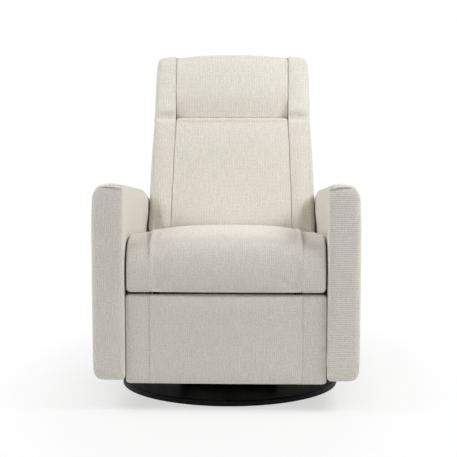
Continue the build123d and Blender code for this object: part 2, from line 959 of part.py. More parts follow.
# Hinge of the headrest: arms on the stiles, leaves on the headrest frame
headrest_pivot = (headrest_pivot_y, crease_level)
arm_leaf_near = stile_inner - hinge_leaf_thickness
head_leaf_near = arm_leaf_near - hinge_leaf_gap - hinge_leaf_thickness
hinge_arm_root = (stile_front + hinge_leaf_width, stile_top - 2 * hinge_leaf_width)
hinge_leaf_root = (stile_front, headrest_board_bottom + 2 * hinge_leaf_width)
with BuildPart() as headrest_hinge_arms:
    for side in SIDES.values():
        with BuildSketch(back_side_view(side * arm_leaf_near)):
            bar(hinge_arm_root, headrest_pivot, hinge_leaf_width)
            bores([headrest_pivot], link_pin_diameter + 2 * pin_clearance)
        extrude(amount=side * hinge_leaf_thickness)
save(headrest_hinge_arms, "headrest_hinge_arms")

with BuildPart() as headrest_hinge_leaves:
    for side in SIDES.values():
        with BuildSketch(back_side_view(side * head_leaf_near)):
            bar(hinge_leaf_root, headrest_pivot, hinge_leaf_width)
        extrude(amount=side * hinge_leaf_thickness)
        pin(side, headrest_pivot, head_leaf_near, stile_inner, link_pin_diameter, back_side_view)
save(headrest_hinge_leaves, "headrest_hinge_leaves")

# Headrest frame: a front board, two sides and a top board
side_near = head_leaf_near + headrest_side_gap
side_far = side_near + headrest_side_thickness
board_front_level = stile_front - headrest_board_thickness / 2
headrest_middle = (headrest_board_bottom + headrest_board_top) / 2
with BuildPart() as headrest_frame:
    with BuildSketch(back_side_view(-head_leaf_near)):
        with Locations((stile_front, headrest_middle)):
            Rectangle(headrest_board_thickness, headrest_board_top - headrest_board_bottom)
    extrude(amount=2 * head_leaf_near)
    for side in SIDES.values():
        with BuildSketch(back_side_view(side * side_near)):
            with Locations(((board_front_level + stile_rear) / 2, headrest_middle)):
                Rectangle(stile_rear - board_front_level, headrest_board_top - headrest_board_bottom)
        extrude(amount=side * headrest_side_thickness)
    with BuildSketch(back_side_view(-side_far)):
        with Locations(
            ((board_front_level + stile_rear) / 2, headrest_board_top + headrest_board_thickness / 2)
        ):
            Rectangle(stile_rear - board_front_level, headrest_board_thickness)
    extrude(amount=2 * side_far)
save(headrest_frame, "headrest_frame")


def crowned_block(half, rear, front, crown, corner):
    """Level section of a back cushion: flat rear and a crowned front with soft corners."""
    bend = corner * (1 - cos(radians(45)))
    shoulder = front + crown
    with BuildLine() as outline:
        Polyline((-half, shoulder + corner), (-half, rear), (half, rear), (half, shoulder + corner))
        ThreePointArc(
            (half, shoulder + corner), (half - bend, shoulder + bend), (half - corner, shoulder)
        )
        ThreePointArc((half - corner, shoulder), (0, front), (corner - half, shoulder))
        ThreePointArc(
            (corner - half, shoulder), (bend - half, shoulder + bend), (-half, shoulder + corner)
        )
    make_face(outline.edges())


# Cushions of the back and the headrest: crowned, and drawn in at their edges
back_crown = 20
cushion_corner = 22
roll_height = 22
roll_depth = 30
back_lower_top = crease_level - crease_gap / 2
headrest_bottom = crease_level + crease_gap / 2
cushion_rear_level = stile_front - strap_thickness - soft_gap
headrest_rear_level = board_front_level - soft_gap


def rolled_levels(bottom, top):
    """Levels of a cushion's sections, with how far each is drawn back."""
    return (
        (bottom, roll_depth),
        (bottom + roll_height / 3, roll_depth / 3),
        (bottom + roll_height, 0),
        (top - roll_height, 0),
        (top - roll_height / 3, roll_depth / 3),
        (top, roll_depth),
    )


with BuildPart() as back_cushion:
    for up, draw in rolled_levels(back_bottom, back_lower_top):
        with BuildSketch(back_level(up)):
            crowned_block(
                cushion_half_width, cushion_rear_level, back_cushion_front + draw, back_crown, cushion_corner
            )
    loft(ruled=True)
save(back_cushion, "back_cushion")

with BuildPart() as headrest_cushion:
    for up, draw in rolled_levels(headrest_bottom, back_top):
        with BuildSketch(back_level(up)):
            crowned_block(
                cushion_half_width,
                headrest_rear_level,
                headrest_cushion_front + draw,
                back_crown,
                cushion_corner,
            )
    loft(ruled=True)
save(headrest_cushion, "headrest_cushion")


def wing_outline(side, outer, front, frame_outer, frame_front, rear, corner):
    """Level section of a wing: it wraps the front and the side of the frame beside it."""
    bend = corner * (1 - cos(radians(45)))
    with BuildLine() as outline:
        Polyline(
            (side * wing_inner, front),
            (side * wing_inner, frame_front),
            (side * frame_outer, frame_front),
            (side * frame_outer, rear),
            (side * outer, rear),
            (side * outer, front + corner),
        )
        ThreePointArc(
            (side * outer, front + corner),
            (side * (outer - bend), front + bend),
            (side * (outer - corner), front),
        )
        Line((side * (outer - corner), front), (side * wing_inner, front))
    make_face(outline.edges())


wing_corner = 24
wing_roll = 14
for hand, side in SIDES.items():
    with BuildPart() as back_wing:
        for up, outer, draw in (
            (back_bottom, wing_half_width_bottom, wing_roll),
            (back_bottom + roll_height, wing_half_width_bottom, 0),
            (back_lower_top - roll_height, wing_half_width_crease, 0),
            (back_lower_top, wing_half_width_crease, wing_roll),
        ):
            with BuildSketch(back_level(up)):
                wing_outline(
                    side,
                    outer,
                    wing_front + draw,
                    stile_outer + soft_gap,
                    stile_front - strap_thickness - soft_gap,
                    stile_rear,
                    wing_corner,
                )
        loft(ruled=True)
    save(back_wing, f"back_wing_{hand}")

    with BuildPart() as headrest_wing:
        for up, outer, draw in (
            (headrest_bottom, wing_half_width_crease, wing_roll),
            (headrest_bottom + roll_height, wing_half_width_crease, 0),
            (back_top - roll_height, wing_half_width_top, 0),
            (back_top - crease_gap, wing_half_width_top - wing_roll, wing_roll),
        ):
            with BuildSketch(back_level(up)):
                wing_outline(
                    side,
                    outer,
                    wing_front + draw,
                    side_far + soft_gap,
                    board_front_level - soft_gap,
                    stile_rear,
                    wing_corner,
                )
        loft(ruled=True)
    save(headrest_wing, f"headrest_wing_{hand}")



def wrap_point(radius, angle):
    """Point of the outer cover where it wraps under the recline pivot."""
    return (radius * cos(radians(angle)), -radius * sin(radians(angle)))


# Outer covers: padded panels on the rear of the frames
with BuildPart() as back_outer_cover:
    with BuildSketch(back_rear_view(stile_rear)):
        with BuildLine():
            Polyline(
                (-wing_half_width_bottom, 0),
                (wing_half_width_bottom, 0),
                (wing_half_width_crease, back_lower_top),
                (-wing_half_width_crease, back_lower_top),
                close=True,
            )
        make_face()
    extrude(amount=-outer_cover_thickness)
    with BuildSketch(back_side_view(-wing_half_width_bottom)):
        with BuildLine():
            Line((stile_rear, 0), (back_rear, 0))
            ThreePointArc(
                (back_rear, 0),
                wrap_point(back_rear, cover_wrap_angle / 2),
                wrap_point(back_rear, cover_wrap_angle),
            )
            Line(wrap_point(back_rear, cover_wrap_angle), wrap_point(stile_rear, cover_wrap_angle))
            ThreePointArc(
                wrap_point(stile_rear, cover_wrap_angle),
                wrap_point(stile_rear, cover_wrap_angle / 2),
                (stile_rear, 0),
            )
        make_face()
    extrude(amount=2 * wing_half_width_bottom)
save(back_outer_cover, "back_outer_cover")

with BuildPart() as headrest_outer_cover:
    with BuildSketch(back_rear_view(stile_rear)):
        with BuildLine():
            Polyline(
                (-wing_half_width_crease, headrest_bottom),
                (wing_half_width_crease, headrest_bottom),
                (wing_half_width_top, back_top),
                (-wing_half_width_top, back_top),
                close=True,
            )
        make_face()
    extrude(amount=-outer_cover_thickness)
    cap_bottom = headrest_board_top + headrest_board_thickness
    with BuildSketch(back_side_view(-side_far)):
        with Locations(((board_front_level + stile_rear) / 2, (cap_bottom + back_top) / 2)):
            Rectangle(stile_rear - board_front_level, back_top - cap_bottom)
    extrude(amount=2 * side_far)
save(headrest_outer_cover, "headrest_outer_cover")
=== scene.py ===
"""Looks of the swivel glider recliner: upholstery, materials, light and camera around the CAD frame."""

import json
import math

import bmesh
import bpy
import mathutils
import numpy as np
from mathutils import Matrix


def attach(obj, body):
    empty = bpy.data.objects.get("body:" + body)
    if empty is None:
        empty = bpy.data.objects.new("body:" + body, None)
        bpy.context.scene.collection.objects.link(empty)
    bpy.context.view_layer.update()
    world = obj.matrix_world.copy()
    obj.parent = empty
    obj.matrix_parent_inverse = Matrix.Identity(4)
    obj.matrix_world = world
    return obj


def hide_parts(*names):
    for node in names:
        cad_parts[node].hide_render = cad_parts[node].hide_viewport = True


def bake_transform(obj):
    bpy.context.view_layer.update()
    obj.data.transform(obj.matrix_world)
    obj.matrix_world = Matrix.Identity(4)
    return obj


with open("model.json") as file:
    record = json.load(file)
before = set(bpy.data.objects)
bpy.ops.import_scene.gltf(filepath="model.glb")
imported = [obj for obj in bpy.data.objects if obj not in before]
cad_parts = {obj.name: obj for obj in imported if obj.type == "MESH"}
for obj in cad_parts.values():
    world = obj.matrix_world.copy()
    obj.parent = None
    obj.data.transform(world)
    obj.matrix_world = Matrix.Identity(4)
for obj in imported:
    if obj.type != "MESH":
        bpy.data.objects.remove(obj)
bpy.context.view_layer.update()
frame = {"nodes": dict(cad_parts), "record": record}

MM = 0.001
SIDES = {"left": -1, "right": 1}

# Sizes in millimetres, as in the CAD source: +Z up, the sitter faces -Y. ROUNDING is the radii of an
# outline's corners in their order, COUNT the number of its points, EDGE the round of a block's end face,
# and HOLD how far from a seam or an edge the cloth is sewn down.

# Mesh detail
CORNER_STEPS = 9
CORNER_CUT = 0.17
EDGE_STEPS = 7
MERGE = 1e-5

# Arms
HALF_WIDTH = 389
ARM_FRONT = -404
ARM_REAR = 345
ARM_BOTTOM = 93
ARM_TOP_FRONT = 665
ARM_TOP_REAR = 592
ARM_INNER_FRONT = 295
ARM_INNER_REAR = 284
ARM_FRAME_OUTER = 328
ARM_FRAME_GAP = 0.6
ARM_LINING_BOTTOM = 345
ARM_CORNER_OUTER = 29
ARM_CORNER_FRONT = 15
ARM_CORNER_REAR = {"left": 36, "right": 24}
ARM_CORNER_BOTTOM = 26
ARM_CORNER_LINING = 6
ARM_CORNER_FRAME = 1
ARM_COUNT = 240
ARM_ROLL = 14
ARM_REAR_EDGE = 5
ARM_TAPER = 4
ARM_TAPER_HEIGHT = 70
ARM_LEAN = 4
ARM_LEAN_START = 540
ARM_END = 120
ARM_END_FALL = {"left": 14, "right": 2}
ARM_FLARE = 6
ARM_FLARE_PLACE = 160
ARM_FLARE_LENGTH = 80
ARM_FLARE_START = 60
ARM_FLARE_RISE = 50
ARM_FLARE_DEPTH = 30
ARM_CROWN = 15
ARM_CROWN_SHIFT = 12
ARM_CROWN_FADE = 60
ARM_CROWN_BASE = 11

# Front faces of the arms
PANEL_FRONT = -402.2
PANEL_REAR = -360
PANEL_TOP = 658
PANEL_FALL = 10
PANEL_OUTER = HALF_WIDTH - 0.4
PANEL_INNER = ARM_INNER_FRONT - 0.6
PANEL_BASE = 12
PANEL_CORNER_INNER = 8
PANEL_COUNT = 220
PANEL_EDGE = 3
PANEL_HOLD = 6
PANEL_TUCK = 3
PUCKER_PLACES = (299, 379)
PUCKER_DEPTH = 4
PUCKER_WIDTH = 4
ROLL_REAR = -391

# Panel at the rear, below the back
APRON_FRONT = 332
APRON_REAR = 345
APRON_BOTTOM = 96
APRON_TOP = 307
APRON_END_TOP = 346
APRON_DIP = 281.5
APRON_STEP = 4
APRON_ROUNDING = (5, 5, 5, 5)
APRON_COUNT = 100
APRON_EDGE = 4
APRON_HOLD = 4

# Seat cushion: a raised middle between two side boxes
SEAM = 220
SEAM_LAP = 2.2
SEAM_EDGE = 3
SIDE_EDGE = 11
SEAT_FRONT = -402
SEAT_REAR = 127
SEAT_BOTTOM = 351.5
SEAT_TOP = 541
SEAT_SEAM_TOP = 527
SEAT_SIDE_SEAM_TOP = 517
SEAT_SIDE_TOP = 514
SEAT_FALL = 42
SEAT_CREST = 8
SEAT_BULGE = 3
SEAT_SIDE_BACKSET = 4
SEAT_HALF_FRONT = 290
SEAT_HALF_REAR = 281
SEAT_ROUNDING = (9, 8, 24, 96)
SEAT_COUNT = 230
SEAT_SEAM_HOLD = 7
SEAT_SIDE_HOLD = 7
SEAT_STRAP_HOLD = 4
SEAT_REAR_HOLD = 6

# Footrest pad, sewn in the same way
FOOT_FRONT = -392
FOOT_REAR = -364.3
FOOT_BOTTOM = 78
FOOT_TOP = 346
FOOT_HALF = 293.8
FOOT_BULGE = 3
FOOT_SIDE_BACKSET = 2
FOOT_ROUNDING = (12, 4, 12, 9)
FOOT_COUNT = 110
FOOT_SEAM_HOLD = 6
FOOT_SIDE_HOLD = 3
FOOT_REAR_HOLD = 5

# Back and headrest, measured rearward and up from the recline pivot in the tilted frame of the back
RECLINE_Y = 230
RECLINE_Z = 350
BACK_TILT = math.radians(11)
BACK_BOTTOM = 88
BACK_TOP = 710
BACK_REAR = 100
BACK_FRAME_FRONT = -12.5
BACK_SLOPE = 7
BACK_SLOPE_HEIGHT = 45
BACK_ROUNDING = (26, 6, 6, 4, 60)
BACK_COUNT = 180
HEAD_FRAME_FRONT = -18
HEAD_FRAME_TOP = 693.5
HEAD_ROLL = 20
HEAD_ROLL_HEIGHT = 76
HEAD_RISE = 3
HEAD_REAR_FALL = 4
HEAD_ARCH = 2.6
HEAD_ROUNDING = (36, 6, 1, 3, 5, 34, 70)
HEAD_COUNT = 190
CUSHION_HALF_LOW = 206
CUSHION_HALF_HIGH = 190
CUSHION_BULGE = 15
CUSHION_EDGE = 9
CUSHION_SEAM_HOLD = 7
CUSHION_CREASE_HOLD = 12
CUSHION_HELD_FROM = -24
CREASE = 485
CREASE_LAP = 6
CREASE_ARCH = 3

# Wings and rear cover, which bend at the crease
WING_FRONT = -100
WING_REAR = 84.5
WING_TOP = 702
WING_DROP = 9
WING_LAP = 1.2
WING_LEVELS = (BACK_BOTTOM, 190, 260, 370, CREASE, BACK_TOP)
WING_OUTER = (278, 277.5, 275.5, 268.5, 263.5, 253.5)
WING_WIDTH = WING_OUTER[0] - CUSHION_HALF_LOW
WING_ROUNDING = (12, 6, 8, 16)
WING_COUNT = 210
WING_SEAM_EDGE = 5
WING_OUTER_EDGE = 18
WING_SEAM_HOLD = 6
WING_REAR_HOLD = 6
WING_CREASE_HOLD = 10
FOLD_DROP = 1
FOLD_DEPTH = 6
FOLD_ABOVE = 15
FOLD_BELOW = 7
FOLD_ROLL = 4
FOLD_ROLL_PLACE = 34
FOLD_ROLL_WIDTH = 20
BEND_REACH = 40
COVER_INNER = 85.5
COVER_WRAP = 50
COVER_WRAP_STEPS = 12
COVER_TOP_ROUND = 8
COVER_TOP_BEVEL = 6
COVER_ARCH = 3
COVER_EDGE = 5
COVER_COUNT = 260


# Shares and places


def between(low, high, share):
    """Value part of the way from one to another."""
    return low + share * (high - low)


def bell(distance, width):
    """Smooth bump of height 1 at no distance."""
    return np.exp(-((distance / width) ** 2))


def crown(x, half):
    """Height of a cushion's crown, from 0 at its edges to 1 in its middle."""
    return 1 - (x / half) ** 2


def points_at(x, y, z):
    """Points of the frame, in metres, from places in millimetres."""
    return np.stack(np.broadcast_arrays(x, y, z), axis=-1) * MM


def across(s, loop):
    """Points of a (Y, Z) section that stands at x."""
    return points_at(s, loop[:, 0], loop[:, 1])


def back_points(x, rearward, up):
    """Points of the frame, in metres, from places in the tilted frame of the back."""
    y = RECLINE_Y + rearward * math.cos(BACK_TILT) + up * math.sin(BACK_TILT)
    z = RECLINE_Z - rearward * math.sin(BACK_TILT) + up * math.cos(BACK_TILT)
    return points_at(x, y, z)


def back_places(points):
    """x, rearward and up of points of the frame, in millimetres."""
    x, y, z = (points / MM).T
    y = y - RECLINE_Y
    z = z - RECLINE_Z
    rearward = y * math.cos(BACK_TILT) - z * math.sin(BACK_TILT)
    up = y * math.sin(BACK_TILT) + z * math.cos(BACK_TILT)
    return x, rearward, up


# Outlines


def section(corners, radii, count):
    """Closed outline with rounded corners, as evenly spaced points that run anticlockwise."""
    corners = np.array(corners, float)
    following = np.roll(corners, -1, axis=0)
    if np.sum(corners[:, 0] * following[:, 1] - corners[:, 1] * following[:, 0]) < 0:
        corners = corners[::-1]
        radii = radii[::-1]
    path = []
    for i, corner in enumerate(corners):
        before = corners[i - 1] - corner
        after = corners[(i + 1) % len(corners)] - corner
        before /= np.linalg.norm(before)
        after /= np.linalg.norm(after)
        opening = math.acos(float(np.clip(before @ after, -1, 1)))
        reach = radii[i] / math.tan(opening / 2)
        start = corner + before * reach
        end = corner + after * reach
        pull = between(corner, (start + end) / 2, CORNER_CUT)
        for t in np.linspace(0, 1, CORNER_STEPS):
            path.append((1 - t) ** 2 * start + 2 * t * (1 - t) * pull + t**2 * end)
    return even(np.array(path), count)


def even(path, count):
    """Closed path with its points spread evenly along it."""
    closed = np.vstack([path, path[:1]])
    runs = np.linalg.norm(np.diff(closed, axis=0), axis=1)
    along = np.concatenate([[0], np.cumsum(runs)])
    wanted = np.linspace(0, along[-1], count, endpoint=False)
    return np.stack([np.interp(wanted, along, closed[:, k]) for k in range(2)], axis=1)


def inset(loop, depth):
    """Anticlockwise outline drawn in by a depth."""
    ahead = np.roll(loop, -1, axis=0) - np.roll(loop, 1, axis=0)
    inward = np.stack([-ahead[:, 1], ahead[:, 0]], axis=1)
    return loop + depth * inward / np.linalg.norm(inward, axis=1, keepdims=True)


def shifted(loop, sideways, up):
    """Outline with its points moved, each by its own amount."""
    return loop + np.stack(np.broadcast_arrays(sideways, up), axis=1)


# Mesh tools


def stations(low, high, low_edge, high_edge, spacing):
    """Places from one end face to the other, each with how far the rounded edge draws the outline in."""
    turns = np.linspace(math.pi / 2, 0, EDGE_STEPS)
    first = [(low + low_edge * (1 - math.sin(a)), low_edge * (1 - math.cos(a))) for a in turns]
    last = [(high - high_edge * (1 - math.sin(a)), high_edge * (1 - math.cos(a))) for a in turns[::-1]]
    inner_low, inner_high = low + low_edge, high - high_edge
    count = max(2, int((inner_high - inner_low) / spacing))
    middle = [(s, 0) for s in np.linspace(inner_low, inner_high, count + 1)[1:-1]]
    return first + middle + last


def soft_block(name, ends, edges, outline, place, spacing=8):
    """Closed block lofted between two end faces. outline(s) is its section at a station, and
    place(s, section) gives that section's points in the frame."""
    rings = [
        place(s, inset(outline(s), depth))
        for s, depth in stations(ends[0], ends[1], edges[0], edges[1], spacing)
    ]
    count = len(rings[0])
    faces = []
    for ring in range(len(rings) - 1):
        for k in range(count):
            a = ring * count + k
            b = ring * count + (k + 1) % count
            faces.append((a, b, b + count, a + count))
    faces.append(tuple(range(count))[::-1])
    faces.append(tuple(range((len(rings) - 1) * count, len(rings) * count)))
    mesh = bpy.data.meshes.new(name)
    mesh.from_pydata(np.vstack(rings).tolist(), [], faces)
    piece = bpy.data.objects.new(name, mesh)
    bpy.context.collection.objects.link(piece)
    face_outward(mesh)
    return piece


def face_outward(mesh):
    """Clear a closed mesh of collapsed faces and turn the rest outwards."""
    work = bmesh.new()
    work.from_mesh(mesh)
    bmesh.ops.remove_doubles(work, verts=work.verts, dist=MERGE)
    bmesh.ops.dissolve_degenerate(work, edges=work.edges, dist=MERGE)
    bmesh.ops.recalc_face_normals(work, faces=work.faces)
    work.to_mesh(mesh)
    work.free()


def vertex_values(mesh, key):
    """Places ("co") or normals ("normal") of a mesh's vertices as an array."""
    flat = np.empty(len(mesh.vertices) * 3)
    mesh.vertices.foreach_get(key, flat)
    return flat.reshape(-1, 3)


def put(mesh, points):
    """Move the vertices of a mesh."""
    mesh.vertices.foreach_set("co", points.ravel())
    mesh.update()


def applied(piece):
    """Take a piece's modifiers into its mesh."""
    graph = bpy.context.evaluated_depsgraph_get()
    mesh = bpy.data.meshes.new_from_object(piece.evaluated_get(graph))
    piece.modifiers.clear()
    old = piece.data
    piece.data = mesh
    bpy.data.meshes.remove(old)


def inflate(piece, held, cap, draw, voxel=5.5):
    """Turn a block into a stuffed one: an even mesh, slightly shrunk, swells as cloth under pressure.
    held(points) says how firmly each place is sewn down, from 0 to 1, cap is the most that a place may
    move, and draw is how far the mesh shrinks first."""
    even_mesh = piece.modifiers.new("even", "REMESH")
    even_mesh.mode = "VOXEL"
    even_mesh.voxel_size = voxel * MM
    applied(piece)
    mesh = piece.data
    start = vertex_values(mesh, "co")
    hold = np.clip(held(start), 0, 1)
    start = start - vertex_values(mesh, "normal") * (draw * MM * (1 - hold))[:, None]
    put(mesh, start)
    put(mesh, start + capped(swollen(piece, hold) - start, cap * MM))
    finer = piece.modifiers.new("finer", "SUBSURF")
    finer.levels = finer.render_levels = 1
    applied(piece)


def capped(moves, limit, tiny=1e-9):
    """Moves shortened smoothly so that none is longer than the limit."""
    length = np.linalg.norm(moves, axis=1, keepdims=True)
    return moves * limit * np.tanh(length / limit) / np.maximum(length, tiny)


def swollen(piece, hold, pressure=4, frames=20):
    """Vertex places after the cloth has swelled under pressure with gravity off."""
    group = piece.vertex_groups.new(name="held")
    for level in np.unique(np.round(hold, 1)):
        members = np.flatnonzero(np.round(hold, 1) == level)
        group.add(members.tolist(), float(level), "REPLACE")
    cloth = piece.modifiers.new("cloth", "CLOTH")
    settings = cloth.settings
    settings.quality = 5
    settings.mass = 0.3
    settings.tension_stiffness = settings.compression_stiffness = 15
    settings.shear_stiffness = 5
    settings.bending_stiffness = 0.5
    settings.use_pressure = True
    settings.uniform_pressure_force = pressure
    settings.vertex_group_mass = group.name
    settings.pin_stiffness = 2
    settings.effector_weights.gravity = 0
    cloth.collision_settings.use_collision = False
    cloth.collision_settings.use_self_collision = False
    scene = bpy.context.scene
    for number in range(1, frames + 1):
        scene.frame_set(number)
    graph = bpy.context.evaluated_depsgraph_get()
    result = vertex_values(piece.evaluated_get(graph).data, "co")
    piece.modifiers.remove(cloth)
    piece.vertex_groups.remove(group)
    scene.frame_set(1)
    return result


def finish_piece(piece, material, body, nodes):
    """Material, smooth shading, the CAD nodes that a piece stands for, and its body, if it has
    just one."""
    piece.data.materials.clear()
    piece.data.materials.append(material)
    piece.data.shade_smooth()
    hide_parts(*nodes)
    if body:
        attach(piece, body)


# Seat cushion and footrest


def seat_half(y):
    """Half width of the seat cushion, which narrows to the rear between the arms."""
    share = (y - SEAT_FRONT) / (SEAT_REAR - SEAT_FRONT)
    return between(SEAT_HALF_FRONT, SEAT_HALF_REAR, share)


def seat_section(front, top):
    """Side view of the seat cushion: a deep roll at the front, and a fall from there to the back."""
    rear_top = top - SEAT_FALL
    crest = top + SEAT_CREST
    corners = [(front, SEAT_BOTTOM), (SEAT_REAR, SEAT_BOTTOM), (SEAT_REAR, rear_top), (front, crest)]
    return section(corners, SEAT_ROUNDING, SEAT_COUNT)


def seat_middle_section(x):
    """Side view of the crowned middle of the seat."""
    rise = crown(x, SEAM)
    front = SEAT_FRONT + SEAT_BULGE - SEAT_BULGE * rise
    return seat_section(front, between(SEAT_SEAM_TOP, SEAT_TOP, rise))


def seat_side_section(x):
    """Side view of a side box, which falls a little towards the arm."""
    top = np.interp(x, (SEAM, SEAT_HALF_FRONT), (SEAT_SIDE_SEAM_TOP, SEAT_SIDE_TOP))
    return seat_section(SEAT_FRONT + SEAT_SIDE_BACKSET, top)


def seat_side_points(side, s, loop):
    """Points of a side box, which narrows to the rear with the cushion."""
    wide = (seat_half(loop[:, 0]) - SEAM) / (SEAT_HALF_FRONT - SEAM)
    return points_at(side * (SEAM + (s - SEAM) * wide), loop[:, 0], loop[:, 1])


def sewn_seat(points):
    """The seat is held along its seams, at its sides and where it rests on the straps and meets the back."""
    x, y, z = (points / MM).T
    seams = bell(np.abs(x) - SEAM, SEAT_SEAM_HOLD)
    sides = np.abs(x) > seat_half(y) - SEAT_SIDE_HOLD
    resting = z < SEAT_BOTTOM + SEAT_STRAP_HOLD
    return np.maximum.reduce([seams, sides, resting, y > SEAT_REAR - SEAT_REAR_HOLD])


def build_seat(fabric):
    """Seat cushion, as a middle panel and two side boxes that meet in seams."""
    reach = SEAM + SEAM_LAP
    middle = soft_block("seat_middle", (-reach, reach), (SEAM_EDGE, SEAM_EDGE), seat_middle_section, across)
    inflate(middle, sewn_seat, cap=18, draw=7, voxel=6)
    finish_piece(middle, fabric, "seat_body", ["seat_cushion"])
    for hand, side in SIDES.items():
        box = soft_block(
            f"seat_box_{hand}",
            (SEAM - SEAM_LAP, SEAT_HALF_FRONT),
            (SEAM_EDGE, SIDE_EDGE),
            seat_side_section,
            lambda s, loop: seat_side_points(side, s, loop),
        )
        inflate(box, sewn_seat, cap=9, draw=2)
        finish_piece(box, fabric, "seat_body", ["seat_cushion"])


def foot_section(front):
    """Side view of the footrest pad."""
    corners = [(front, FOOT_BOTTOM), (FOOT_REAR, FOOT_BOTTOM), (FOOT_REAR, FOOT_TOP), (front, FOOT_TOP)]
    return section(corners, FOOT_ROUNDING, FOOT_COUNT)


def sewn_foot(points):
    """The footrest pad is held along its seams, at its sides and against its board."""
    x, y, z = (points / MM).T
    seams = bell(np.abs(x) - SEAM, FOOT_SEAM_HOLD)
    sides = np.abs(x) > FOOT_HALF - FOOT_SIDE_HOLD
    return np.maximum.reduce([seams, y > FOOT_REAR - FOOT_REAR_HOLD, sides])


def build_footrest(fabric):
    """Footrest pad, sewn from three panels in line with those of the seat."""
    reach = SEAM + SEAM_LAP
    middle = soft_block(
        "footrest_middle",
        (-reach, reach),
        (SEAM_EDGE, SEAM_EDGE),
        lambda x: foot_section(FOOT_FRONT - FOOT_BULGE * crown(x, SEAM)),
        across,
    )
    inflate(middle, sewn_foot, cap=8, draw=1.5)
    finish_piece(middle, fabric, "footrest", ["footrest_pad"])
    for hand, side in SIDES.items():
        panel = soft_block(
            f"footrest_side_{hand}",
            (SEAM - SEAM_LAP, FOOT_HALF),
            (SEAM_EDGE, SIDE_EDGE),
            lambda x: foot_section(FOOT_FRONT + FOOT_SIDE_BACKSET),
            lambda s, loop: across(side * s, loop),
        )
        inflate(panel, sewn_foot, cap=6, draw=1)
        finish_piece(panel, fabric, "footrest", ["footrest_pad"])


# Back and headrest


def cushion_half(up):
    """Half width of the cushions between the wings."""
    share = np.clip((up - BACK_BOTTOM) / (CREASE - BACK_BOTTOM), 0, 1)
    return between(CUSHION_HALF_LOW, CUSHION_HALF_HIGH, share)


def wing_outer(up):
    """Half width of the back over its wings."""
    return np.interp(up, WING_LEVELS, WING_OUTER)


def cushion_points(s, loop):
    """Points of a (rearward, up) section at a share of the cushion's half width."""
    return back_points(s / CUSHION_HALF_LOW * cushion_half(loop[:, 1]), loop[:, 0], loop[:, 1])


def sewn_back(points):
    """Back cushions are held along the wing seams, against the frame and where they meet."""
    x, rearward, up = back_places(points)
    seams = bell(np.abs(x) - cushion_half(up), CUSHION_SEAM_HOLD)
    meeting = bell(up - CREASE, CUSHION_CREASE_HOLD)
    return np.maximum.reduce([seams, rearward > CUSHION_HELD_FROM, meeting])


def back_section(x):
    """Side view of the back cushion, which leans away a little under the headrest."""
    rise = crown(x, CUSHION_HALF_LOW)
    front = WING_FRONT - CUSHION_BULGE * rise
    top = CREASE + CREASE_LAP / 2 - CREASE_ARCH * rise
    corners = [
        (front, BACK_BOTTOM),
        (BACK_FRAME_FRONT, BACK_BOTTOM),
        (BACK_FRAME_FRONT, top),
        (front + BACK_SLOPE, top),
        (front, top - BACK_SLOPE_HEIGHT),
    ]
    return section(corners, BACK_ROUNDING, BACK_COUNT)


def headrest_section(x):
    """Side view of the headrest cushion: a soft roll at its foot, and a top that reaches over the frame."""
    rise = crown(x, CUSHION_HALF_LOW)
    front = WING_FRONT - CUSHION_BULGE * rise
    bottom = CREASE - CREASE_LAP / 2 - CREASE_ARCH * rise
    top = between(WING_TOP, BACK_TOP, 1 - abs(x / CUSHION_HALF_LOW) ** HEAD_ARCH) + HEAD_RISE
    corners = [
        (front + HEAD_ROLL, bottom),
        (HEAD_FRAME_FRONT, bottom),
        (HEAD_FRAME_FRONT, HEAD_FRAME_TOP),
        (WING_REAR, HEAD_FRAME_TOP),
        (WING_REAR, top - HEAD_REAR_FALL),
        (front, top),
        (front, bottom + HEAD_ROLL_HEIGHT),
    ]
    return section(corners, HEAD_ROUNDING, HEAD_COUNT)


def build_back(fabric):
    """Cushions of the back and the headrest."""
    ends = (-CUSHION_HALF_LOW, CUSHION_HALF_LOW)
    for body, outline in (("back", back_section), ("headrest", headrest_section)):
        pad = soft_block(f"{body}_pad", ends, (CUSHION_EDGE, CUSHION_EDGE), outline, cushion_points)
        inflate(pad, sewn_back, cap=14, draw=7)
        finish_piece(pad, fabric, body, [f"{body}_cushion"])


def wing_section(x):
    """Side view of a wing."""
    corners = [
        (WING_FRONT, BACK_BOTTOM),
        (WING_REAR, BACK_BOTTOM),
        (WING_REAR, WING_TOP),
        (WING_FRONT, WING_TOP),
    ]
    return section(corners, WING_ROUNDING, WING_COUNT)


def wing_points(side, s, loop):
    """Points of a wing, which narrows upwards and drops off at its outer top corner."""
    up = loop[:, 1]
    share = s / WING_WIDTH
    x = between(cushion_half(up) - WING_LAP, wing_outer(up), share)
    drop = WING_DROP * share**2 * np.clip((up - CREASE) / (WING_TOP - CREASE), 0, 1) ** 4
    return back_points(side * x, loop[:, 0], up - drop)


def sewn_wing(points):
    """A wing is held along its seam, its rear edge and the crease where the headrest bends."""
    x, rearward, up = back_places(points)
    seam = bell(np.abs(x) - cushion_half(up), WING_SEAM_HOLD)
    fold = bell(up - CREASE, WING_CREASE_HOLD)
    return np.maximum.reduce([seam, rearward > WING_REAR - WING_REAR_HOLD, fold])


def build_wings(fabric):
    """Padded sides of the back and the headrest, each in one piece over the fold."""
    edges = (WING_SEAM_EDGE, WING_OUTER_EDGE)
    for hand, side in SIDES.items():
        wing = soft_block(
            f"wing_{hand}",
            (0, WING_WIDTH),
            edges,
            wing_section,
            lambda s, loop: wing_points(side, s, loop),
        )
        inflate(wing, sewn_wing, cap=7, draw=2)
        crease(wing)
        finish_piece(wing, fabric, None, [f"back_wing_{hand}", f"headrest_wing_{hand}"])
        bend_with_headrest(wing)


